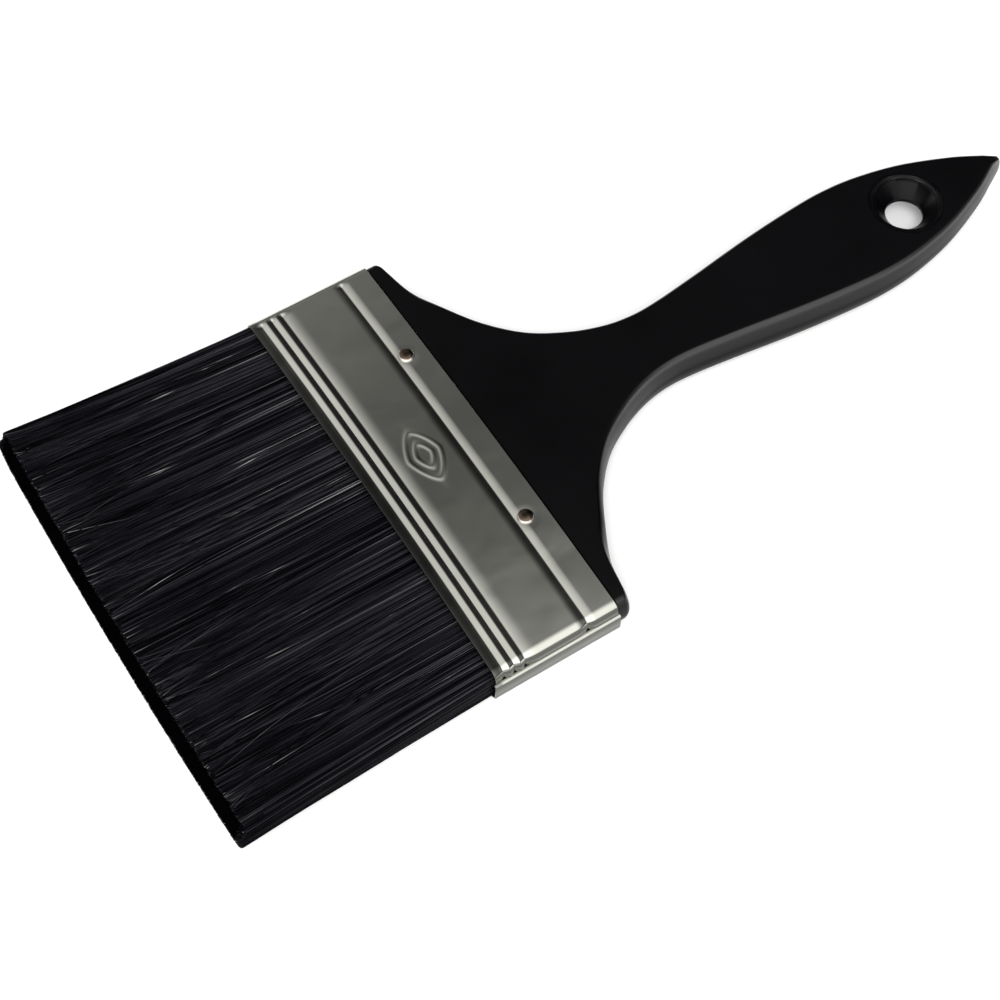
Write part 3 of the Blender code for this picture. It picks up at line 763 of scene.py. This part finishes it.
def hole_cutter(half):
    """A turned body with a straight waist that opens in a cone, rounded out into both faces."""
    slope = math.atan2(SINK_RADIUS - HOLE_RADIUS, half - HOLE_WAIST / 2)
    upper = [(HOLE_RADIUS, HOLE_WAIST / 2)]
    lip_radius = SINK_RADIUS + SINK_LIP * math.tan((math.pi / 2 - slope) / 2)
    lip_low = half - SINK_LIP + SINK_LIP * math.sin(slope)
    lip_out = lip_radius - SINK_LIP * math.cos(slope)
    upper.append((mix(HOLE_RADIUS, lip_out, NEAR_LIP), mix(HOLE_WAIST / 2, lip_low, NEAR_LIP)))
    turn = math.pi / 2 - slope
    for step in range(LIP_STEPS + 1):
        angle = slope + turn * step / LIP_STEPS
        radius = lip_radius - SINK_LIP * math.cos(angle)
        upper.append((radius, half - SINK_LIP + SINK_LIP * math.sin(angle)))
    upper.append((lip_radius + CUTTER_FLARE, half + CUTTER_BEYOND))
    profile = [(r, -z) for r, z in reversed(upper)] + upper
    points = []
    for radius, height in profile:
        for k in range(HOLE_SIDES):
            angle = 2 * math.pi * k / HOLE_SIDES
            points.append((radius * math.cos(angle), radius * math.sin(angle), height))
    return points, ring_faces(len(profile), HOLE_SIDES)


def make_handle(plastic):
    rings = handle_rings()
    points = [point for ring in rings for point in ring]
    handle = face_out(add_mesh("handle_body", points, ring_faces(len(rings), len(rings[0])), plastic))
    hold_values(handle, "shine", [value for ring in rings for value in ring_shine(ring[0][0])])
    x = TIP_X - HOLE_FROM_TIP
    half = handle_half_thickness(x, 0.0)
    cutter_points, cutter_faces = hole_cutter(half)
    tool = face_out(add_mesh("hole_tool", cutter_points, cutter_faces, plastic))
    lip = [LIP_SHINE * (math.hypot(*point[:2]) > LIP_FROM) for point in cutter_points]
    hold_values(tool, "shine", lip)
    tool.location = (x, 0.0, MID_Z)
    modifier = handle.modifiers.new("hole", "BOOLEAN")
    modifier.operation = "DIFFERENCE"
    modifier.solver = "EXACT"
    modifier.object = tool
    bpy.context.view_layer.update()
    cut_mesh = bpy.data.meshes.new_from_object(handle.evaluated_get(bpy.context.evaluated_depsgraph_get()))
    handle.modifiers.clear()
    handle.data = cut_mesh
    bpy.data.objects.remove(tool, do_unlink=True)
    cut_mesh.shade_smooth()
    cut_mesh.set_sharp_from_angle(angle=math.radians(30.0))
    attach(handle, HANDLE_BODY)
    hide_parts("handle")


# ---------------------------------------------------------------- nails

def make_nails(steel):
    profile = [
        (NAIL_SHANK_RADIUS, -NAIL_HEAD_HEIGHT - NAIL_SHOWN),
        (NAIL_SHANK_RADIUS, -NAIL_HEAD_HEIGHT),
        (NAIL_HEAD_RADIUS * NAIL_UNDER, -NAIL_HEAD_HEIGHT),
    ]
    for step in range(DOME_STEPS + 1):
        angle = math.radians(DOME_END * step / DOME_STEPS)
        height = NAIL_HEAD_HEIGHT * (math.sin(angle) - 1.0) + NAIL_LIP * math.cos(angle)
        profile.append((NAIL_HEAD_RADIUS * math.cos(angle), height))
    for node, (place, sign) in NAILS.items():
        points = []
        for radius, height in profile:
            for k in range(NAIL_SIDES):
                angle = 2 * math.pi * k / NAIL_SIDES
                x = place.x + radius * math.cos(angle)
                y = place.y + radius * math.sin(angle)
                points.append((x, y, place.z + sign * height))
        faces = ring_faces(len(profile), NAIL_SIDES)
        nail = face_out(add_mesh(node + "_domed", points, faces, steel, 50.0))
        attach(nail, HANDLE_BODY)
        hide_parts(node)
        hold_values(nail, "rim", [float(r > NAIL_RIM) for r, _ in profile for _ in range(NAIL_SIDES)])
        nail.visible_glossy = False


# ---------------------------------------------------------------- bristles

def pack_half_thickness(y):
    """Half thickness inside the sheet at the mouth, from the middle plane, for y across the pack."""
    crown = CROWN_MOUTH * (1.0 - np.minimum(np.abs(y) / FACE_HALF, 1.0) ** 2)
    level = FERRULE_SIDE / 2 + crown - SHEET
    into = np.clip((np.abs(y) - (INNER_HALF - PACK_CORNER)) / PACK_CORNER, 0.0, 1.0)
    return level - PACK_CORNER * (1.0 - np.sqrt(1.0 - into ** 2))


def tip_half_thickness(y_share):
    """Half thickness of the cut tips at a share of the half width."""
    half = (pack_high.z - pack_low.z) / 2
    into = np.clip((np.abs(y_share) - TIP_CORNER_FROM) / TIP_CORNER_WIDTH, 0.0, 1.0)
    return half * np.sqrt(np.maximum(1.0 - into ** 2, TIP_CORNER_LEAST))


def filament_lines(rng, across, through, stations, clump, wave, stray):
    """Centre lines of filaments at shares across and through the pack, as an array of points, and
    how far along the free length each point is. The tips gather by the share clump, the filaments
    sway by the length wave, and stray moves each tip across the brush."""
    count = len(across)
    half_root = INNER_HALF - FILAMENT_RADIUS
    y_root = across * half_root
    z_root = through * (pack_half_thickness(y_root) - FILAMENT_RADIUS)
    tuft = np.round(across * GATHER_PLACES + rng.normal(0.0, GATHER_SCATTER, count)) / GATHER_PLACES
    tuft_layer = np.round(through * GATHER_LAYERS) / GATHER_LAYERS
    pulled = clump * rng.random(count)
    across_tip = mix(across, tuft, pulled)
    through_tip = mix(through, tuft_layer, pulled * 0.5)
    y_tip = across_tip * TIP_HALF_WIDTH + TIP_LEAN + rng.normal(0.0, TIP_SCATTER[0], count) + stray
    z_tip = through_tip * tip_half_thickness(across) + rng.normal(0.0, TIP_SCATTER[1], count)
    short = np.abs(rng.normal(0.0, TIP_SHORT, count)) + CORNER_SHORT * across ** 2
    ragged = np.abs(rng.normal(0.0, TIP_RAGGED, TUFTS + 1))
    slant = TIP_SLANT + ragged[np.round((across + 1.0) / 2 * TUFTS).astype(int)]
    short += slant * smooth((through + SLANT_FROM) / (1.0 + SLANT_FROM))
    long_end = BRISTLE_TIP_X + short
    start = MOUTH_X + ROOT_INSIDE
    t = np.asarray(stations)[None, :]
    x = start + (long_end[:, None] - start) * t
    free = np.clip((MOUTH_X - x) / BRISTLE_OUT, 0.0, 1.0)
    spread = free ** SPREAD_POWER
    phase = rng.random((count, 2)) * 2 * math.pi
    turns = rng.uniform(0.6, 1.6, (count, 1)) * 2 * math.pi * free
    sway = wave * rng.normal(0.0, 1.0, (count, 1)) * np.sin(phase[:, :1] + turns) * free
    lift = 0.5 * wave * rng.normal(0.0, 1.0, (count, 1)) * np.sin(phase[:, 1:] + turns) * free
    y = mix(y_root[:, None], y_tip[:, None], spread) + sway
    z = mix(z_root[:, None], z_tip[:, None], spread) + lift
    return np.stack([x, y, MID_Z + z], axis=2), free


def filament_mesh(name, lines, free, tone, filament, radius=FILAMENT_RADIUS):
    """Three-sided tapering tubes along the lines, closed at both ends, as one mesh."""
    count, stations, _ = lines.shape
    taper = radius * mix(1.0, FILAMENT_TAPER, free ** 2)
    turn = np.arange(3) * 2 * math.pi / 3
    spin = (np.arange(count) * SPIN_STEP)[:, None] + turn[None, :]
    points = np.repeat(lines[:, :, None, :], 3, axis=2)
    points[..., 1] += taper[:, :, None] * np.cos(spin)[:, None, :]
    points[..., 2] += taper[:, :, None] * np.sin(spin)[:, None, :]
    base = (np.arange(count) * stations * 3)[:, None, None]
    rows = (np.arange(stations - 1) * 3)[None, :, None]
    k = np.arange(3)[None, None, :]
    j = (k + 1) % 3
    quads = np.stack([base + rows + k, base + rows + j, base + rows + 3 + j, base + rows + 3 + k], axis=3)
    quads = quads.reshape(-1, 4)
    start = (np.arange(count) * stations * 3)[:, None]
    end = start + (stations - 1) * 3
    caps = np.concatenate([start + np.array([[2, 1, 0]]), end + np.array([[0, 1, 2]])])
    mesh = bpy.data.meshes.new(name)
    corner_count = quads.size + caps.size
    mesh.vertices.add(count * stations * 3)
    mesh.vertices.foreach_set("co", points.astype(np.float32).ravel())
    mesh.loops.add(corner_count)
    mesh.loops.foreach_set("vertex_index", np.concatenate([quads.ravel(), caps.ravel()]).astype(np.int32))
    mesh.polygons.add(len(quads) + len(caps))
    totals = np.concatenate([np.full(len(quads), 4), np.full(len(caps), 3)]).astype(np.int32)
    starts = np.concatenate([[0], np.cumsum(totals)[:-1]]).astype(np.int32)
    mesh.polygons.foreach_set("loop_start", starts)
    mesh.polygons.foreach_set("loop_total", totals)
    mesh.update(calc_edges=True)
    mesh.shade_smooth()
    mesh.materials.append(filament)
    made = bpy.data.objects.new(name, mesh)
    hold_values(made, "tone", np.repeat(tone.ravel(), 3).astype(np.float32))
    bpy.context.scene.collection.objects.link(made)
    return made


def bend_with_pack(piece):
    """Bakes the piece's placement into its mesh."""
    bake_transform(piece)


def make_core(dark):
    """The mass of filaments that nobody sees one by one: fills the pack under its outer layers."""
    shares = np.cos(np.linspace(math.pi, 0.0, CORE_STATIONS[0]))
    lengths = np.linspace(0.0, 1.0, CORE_STATIONS[1])
    rings = []
    for t in lengths:
        x = mix(MOUTH_X + ROOT_INSIDE, BRISTLE_TIP_X + CORE_SHORT, t)
        free = max((MOUTH_X - x) / BRISTLE_OUT, 0.0) ** SPREAD_POWER
        upper = []
        for share in shares:
            y = share * mix(INNER_HALF, TIP_HALF_WIDTH, free)
            y = y - share * CORE_INSET + TIP_LEAN * free
            z = mix(pack_half_thickness(share * INNER_HALF), tip_half_thickness(share), free)
            upper.append((x, y, max(z - CORE_INSET, CORE_LEAST)))
        ring = [(a, b, MID_Z + c) for a, b, c in upper] + [(a, b, MID_Z - c) for a, b, c in reversed(upper)]
        rings.append(ring)
    points = [point for ring in rings for point in ring]
    core = face_out(add_mesh("bristle_core", points, ring_faces(len(rings), len(rings[0])), dark, 60.0))
    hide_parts("bristle_pack", "bristle_roots")
    bend_with_pack(core)


def tones(rng, across, free, glints, wear_and_painted_light):
    """Tone of each filament along its length: tufts share one, a share glints of the filaments catch
    the light part way along, and a share have a worn tip, painted lighter as a highlight."""
    count = len(free)
    tufts = rng.random(TUFTS + 1)
    bundles = rng.random(BUNDLES + 1)
    place = (across + 1.0) / 2
    of_tuft = tufts[np.round(place * TUFTS).astype(int)]
    of_bundle = bundles[np.round(place * BUNDLES).astype(int)]
    shared = mix(of_tuft, of_bundle, BUNDLE_SHARE)
    own = rng.random(count)
    tone = TONE_SCALE * mix(shared, own, OWN_SHARE)[:, None] * (ROOT_TONE - TONE_FALL * free)
    middle = rng.uniform(0.05, 1.0, (count, 1))
    reach = rng.uniform(0.08, 0.3, (count, 1))
    glint = np.where(rng.random((count, 1)) < glints, rng.uniform(0.5, 1.0, (count, 1)), 0.0)
    tone = np.maximum(tone, glint * (1.0 - smooth(np.abs(free - middle) / reach)))
    # painted highlight: a share of the filaments have worn tips that are painted lighter
    tip = np.where(rng.random((count, 1)) < wear_and_painted_light, rng.uniform(0.5, 0.95, (count, 1)), 0.0)
    worn_tip_light_from = rng.uniform(0.74, 0.93, (count, 1))
    return np.maximum(tone, tip * smooth((free - worn_tip_light_from) / WORN_TIP_LIGHT_LENGTH))


def within_pack(across, move):
    """Limits how far each filament's tip moves across the brush, so that none leaves the pack."""
    lowest = (-STRAY_LIMIT - across) * TIP_HALF_WIDTH
    highest = (STRAY_LIMIT - across) * TIP_HALF_WIDTH
    return np.clip(move, lowest, highest)


def make_face_layer(rng, filament, name, count, low, high):
    across = rng.uniform(-1.0, 1.0, count)
    through = rng.uniform(low, high, count)
    loose = rng.random(count) < LOOSE_SHARE
    wide = rng.normal(0.0, LOOSE_SCATTER, count)
    close = rng.normal(0.0, FACE_SCATTER, count)
    stray = within_pack(across, np.where(loose, wide, close))
    lines, free = filament_lines(rng, across, through, STATIONS, FACE_CLUMP, FACE_WAVE, stray)
    tone = tones(rng, across, free, *FACE_GLINTS)
    bend_with_pack(filament_mesh(name, lines, free, tone, filament))


def make_side_layer(rng, filament, name, side):
    across = side * (1.0 - SIDE_DEPTH * rng.random(SIDE_COUNT) ** SIDE_DEPTH_POWER)
    through = rng.uniform(-1.0, 1.0, SIDE_COUNT)
    stray = np.zeros(SIDE_COUNT)
    lines, free = filament_lines(rng, across, through, STATIONS, SIDE_CLUMP, SIDE_WAVE, stray)
    tone = tones(rng, across, free, *SIDE_GLINTS)
    bend_with_pack(filament_mesh(name, lines, free, tone, filament))


def make_strays(rng, filament):
    across = rng.uniform(-0.9, 0.9, STRAY_COUNT)
    through = rng.uniform(1.0, 1.04, STRAY_COUNT)
    drift = within_pack(across, rng.normal(0.0, STRAY_DRIFT, STRAY_COUNT))
    stray = np.zeros(STRAY_COUNT)
    lines, free = filament_lines(rng, across, through, STATIONS, 0.0, STRAY_WAVE, stray)
    lines[:, :, 1] += drift[:, None] * free ** STRAY_POWER
    lines[:, :, 2] += STRAY_LIFT * free
    tone = tones(rng, across, free, *STRAY_GLINTS)
    bend_with_pack(filament_mesh("bristle_strays", lines, free, tone, filament))


def make_tips(rng, dark):
    across = rng.uniform(-0.99, 0.99, TIP_COUNT)
    through = rng.uniform(-0.97, 0.97, TIP_COUNT)
    stray = np.zeros(TIP_COUNT)
    lines, free = filament_lines(rng, across, through, TIP_STATIONS, TIP_CLUMP, 0.0, stray)
    tone = 0.5 * rng.random((TIP_COUNT, 1)) + np.zeros_like(free)
    radius = TIP_WIDER * FILAMENT_RADIUS
    # the cut ends take the core's darker finish: painted shade on the end face
    bend_with_pack(filament_mesh("bristle_tips", lines, free, tone, dark, radius))


def make_bristles(filament, dark):
    rng = np.random.default_rng(7)
    for layer in FACE_LAYERS:
        make_face_layer(rng, filament, *layer)
    make_side_layer(rng, filament, "bristles_side_near", -1.0)
    make_side_layer(rng, filament, "bristles_side_far", 1.0)
    make_strays(rng, filament)
    make_tips(rng, dark)


# ---------------------------------------------------------------- floor, light and camera

def make_floor():
    half = 6.0
    points = [(-half, -half, 0.0), (half, -half, 0.0), (half, half, 0.0), (-half, half, 0.0)]
    finish = Finish("floor")
    mottle = finish.noise(9.0, 3.0, 0.5)
    finish.drive("Base Color", finish.ramp(mottle, ((0.3, 0.90), (0.7, 0.91))))
    finish.set(Roughness=0.9, Specular_IOR_Level=0.0)
    # painted light: the floor glows faintly, which lifts its shadows
    finish.set(Emission_Color=(1.0, 1.0, 1.0, 1.0), Emission_Strength=0.13)
    floor = add_mesh("floor", points, [(0, 1, 2, 3)], finish.material)


def softbox(name, place, target, size, power):
    data = bpy.data.lights.new(name, "AREA")
    data.shape = "RECTANGLE"
    data.size = size[0]
    data.size_y = size[1]
    data.energy = power
    lamp = bpy.data.objects.new(name, data)
    lamp.location = place
    lamp.visible_glossy = False
    lamp.rotation_mode = "QUATERNION"
    lamp.rotation_quaternion = (Vector(place) - Vector(target)).to_track_quat("Z", "Y")
    bpy.context.scene.collection.objects.link(lamp)


def make_world():
    """A studio of pale walls: brightest on the near side, dim beyond the handle and near the floor."""
    world = bpy.data.worlds.new("studio")
    bpy.context.scene.world = world
    world.use_nodes = True
    nodes = world.node_tree.nodes
    links = world.node_tree.links
    background = nodes["Background"]
    direction = nodes.new("ShaderNodeTexCoord").outputs["Generated"]

    def slope(axis, start, end, low, high):
        """Brightness that goes from low to high as a direction turns towards the axis."""
        dot = nodes.new("ShaderNodeVectorMath")
        dot.operation = "DOT_PRODUCT"
        dot.inputs[1].default_value = Vector(axis).normalized()
        links.new(direction, dot.inputs[0])
        node = nodes.new("ShaderNodeMapRange")
        node.interpolation_type = "SMOOTHSTEP"
        node.inputs["From Min"].default_value = start
        node.inputs["From Max"].default_value = end
        node.inputs["To Min"].default_value = low
        node.inputs["To Max"].default_value = high
        links.new(dot.outputs["Value"], node.inputs["Value"])
        return node.outputs["Result"]

    def combine(operation, a, b):
        node = nodes.new("ShaderNodeMath")
        node.operation = operation
        links.new(a, node.inputs[0])
        links.new(b, node.inputs[1])
        return node.outputs["Value"]

    near = slope((0.0, -1.0, 0.0), -0.46, 0.50, 0.125, 1.5)
    beyond = slope((-1.0, 0.0, 0.0), -0.75, -0.32, 0.15, 1.0)
    left = slope((-1.0, 0.0, 0.0), -0.22, 0.55, 0.0, 0.68)
    far = slope((0.0, 1.0, 0.0), 0.44, 0.74, 0.0, 0.11)
    skirting = slope((0.0, 0.0, 1.0), 0.02, 0.36, 0.16, 1.0)
    walls = combine("ADD", combine("MULTIPLY", combine("ADD", near, far), beyond), left)
    strength = combine("MULTIPLY", walls, skirting)
    links.new(strength, background.inputs["Strength"])
    background.inputs["Color"].default_value = (1.0, 0.995, 0.98, 1.0)


def make_camera():
    azimuth = math.radians(CAMERA_AZIMUTH)
    elevation = math.radians(CAMERA_ELEVATION)
    roll = math.radians(CAMERA_ROLL)
    target = Vector((MOUTH_X + CAMERA_TARGET[0], CAMERA_TARGET[1], MID_Z))
    level = math.cos(elevation)
    back = Vector((math.sin(azimuth) * level, -math.cos(azimuth) * level, math.sin(elevation)))
    right = Vector((math.cos(azimuth), math.sin(azimuth), 0.0))
    up = back.cross(right)
    turned_right = right * math.cos(roll) + up * math.sin(roll)
    turned_up = up * math.cos(roll) - right * math.sin(roll)
    data = bpy.data.cameras.new("camera")
    data.sensor_width = 36.0
    data.lens = CAMERA_LENS
    data.clip_start = 0.01
    data.clip_end = 50.0
    camera = bpy.data.objects.new("camera", data)
    turn = Matrix((turned_right, turned_up, back)).transposed().to_4x4()
    camera.matrix_world = Matrix.Translation(target + back * CAMERA_DISTANCE) @ turn
    bpy.context.scene.collection.objects.link(camera)
    bpy.context.scene.camera = camera


def main():
    make_camera()
    make_world()
    softbox("key", (-0.36, -0.55, 1.12), (0.0, 0.0, 0.0), (0.45, 0.45), 9.0)
    make_floor()
    metal = metal_finish()
    make_ferrule(metal)
    make_handle(plastic_finish())
    make_nails(nail_finish())
    dark = core_finish()
    make_core(dark)
    make_bristles(bristle_finish(), dark)
    board = board_finish()
    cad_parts["spacer_upper"].material_slots[0].material = board
    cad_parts["spacer_lower"].material_slots[0].material = board
    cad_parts["resin_setting"].material_slots[0].material = resin_finish()
    bpy.context.scene.view_settings.view_transform = "Standard"


main()
